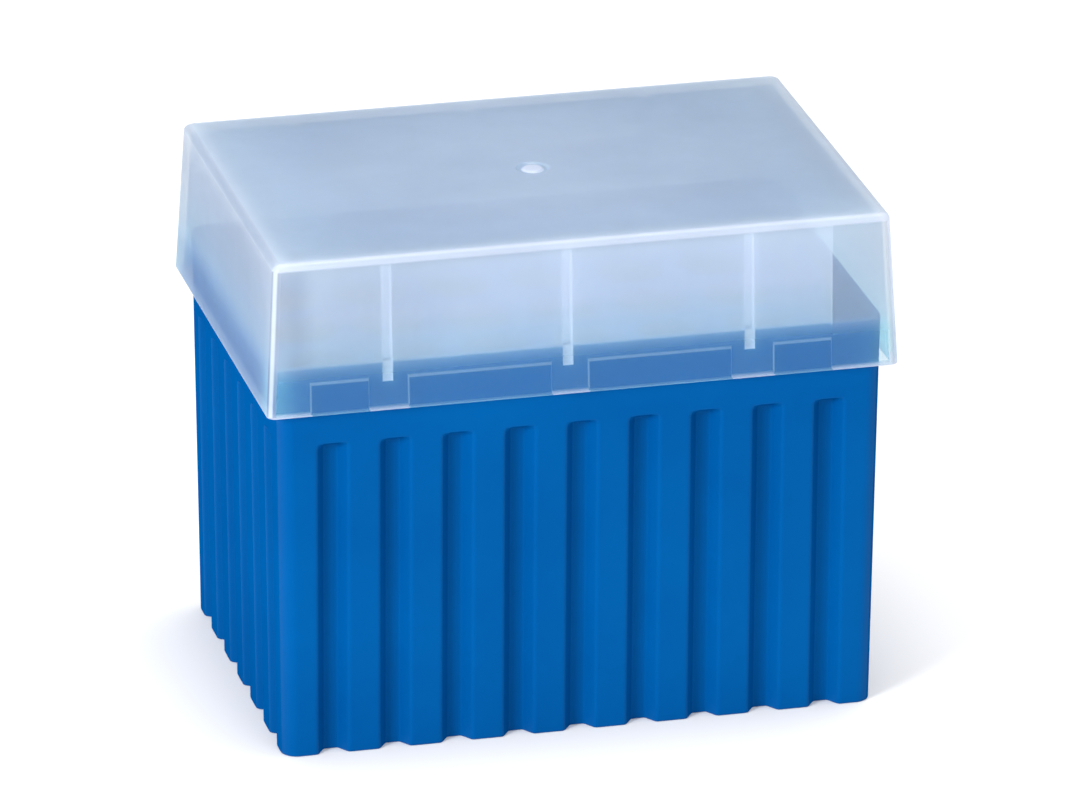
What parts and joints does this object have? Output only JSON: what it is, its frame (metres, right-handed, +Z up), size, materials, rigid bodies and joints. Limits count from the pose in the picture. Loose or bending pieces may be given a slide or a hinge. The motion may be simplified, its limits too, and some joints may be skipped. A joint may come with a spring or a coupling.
{
  "type": "test tube rack",
  "caption": "Fluted plastic box rack that stands test tubes in a lift-out insert under a frosted lift-off lid.",
  "frame": {"origin": "centre of the box's foot, on the surface that it stands on", "axes": "+X along the longer side, +Y towards the back, +Z up"},
  "size_m": [0.1234, 0.0848, 0.1012],
  "materials": {
    "blue_plastic": "satin moulded polypropylene",
    "insert_plastic": "satin moulded polypropylene",
    "frosted_lid": "frosted translucent polypropylene"
  },
  "bodies": {
    "base": {"base_shell": "blue_plastic"},
    "insert": {"upper_plate": "insert_plastic", "lower_plate": "insert_plastic", "post_front_left": "insert_plastic", "post_front_right": "insert_plastic", "post_back_left": "insert_plastic", "post_back_right": "insert_plastic"},
    "lid": {"lid": "frosted_lid"}
  },
  "joints": [
    {"name": "insert_lift", "type": "slide", "parent": "base", "child": "insert", "axis": [0, 0, 1], "range_m": [0, 0.09]},
    {"name": "lid_lift", "type": "slide", "parent": "insert", "child": "lid", "axis": [0, 0, 1], "range_m": [0, 0.12]}
  ]
}
